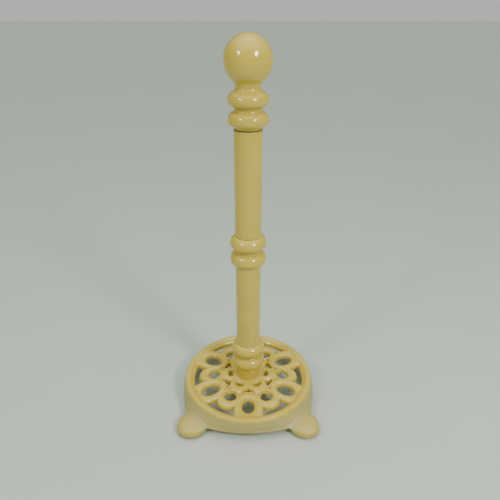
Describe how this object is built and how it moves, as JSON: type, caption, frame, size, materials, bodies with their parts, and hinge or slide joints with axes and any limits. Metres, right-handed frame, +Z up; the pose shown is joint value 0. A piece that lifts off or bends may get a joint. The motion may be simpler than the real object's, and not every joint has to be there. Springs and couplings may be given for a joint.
{
  "type": "paper towel holder",
  "caption": "Free-standing kitchen roll holder: a round pierced base on short feet carries a turned post with ring beads and a ball finial.",
  "frame": {"origin": "on the surface it stands on, under the middle of the post", "axes": "+Z up along the post; -Y is the front, with a large petal of the pierced base towards it; two feet on the front diagonals and one behind"},
  "size_m": [0.1422, 0.1659, 0.3528],
  "materials": {
    "enamel_iron": "gloss",
    "steel": "satin",
    "washer_fibre": "matte",
    "pad_rubber": "matte"
  },
  "bodies": {
    "stand": {"base_casting": "enamel_iron", "base_collar": "enamel_iron", "lower_tube": "enamel_iron", "middle_collar": "enamel_iron", "upper_tube": "enamel_iron", "tie_rod": "steel", "cap_washer": "steel", "cap_nut": "steel", "base_washer": "steel", "lock_washer": "steel", "base_nut": "steel", "foot_pad_1": "pad_rubber", "foot_pad_2": "pad_rubber", "foot_pad_3": "pad_rubber"},
    "finial_seat": {"finial_washer": "washer_fibre"},
    "finial": {"finial": "enamel_iron"}
  },
  "joints": [
    {"name": "finial_rise", "type": "slide", "parent": "stand", "child": "finial_seat", "axis": [0, 0, 1], "range_m": [0, 0.015]},
    {"name": "finial_turn", "type": "hinge", "parent": "finial_seat", "child": "finial", "pos_m": [0, 0, 0.3], "axis": [0, 0, 1], "range_deg": [0, 5400]}
  ],
  "couplings": [
    {"joint": "finial_turn", "follows": "finial_rise", "rad_per_m": 6283.2}
  ]
}
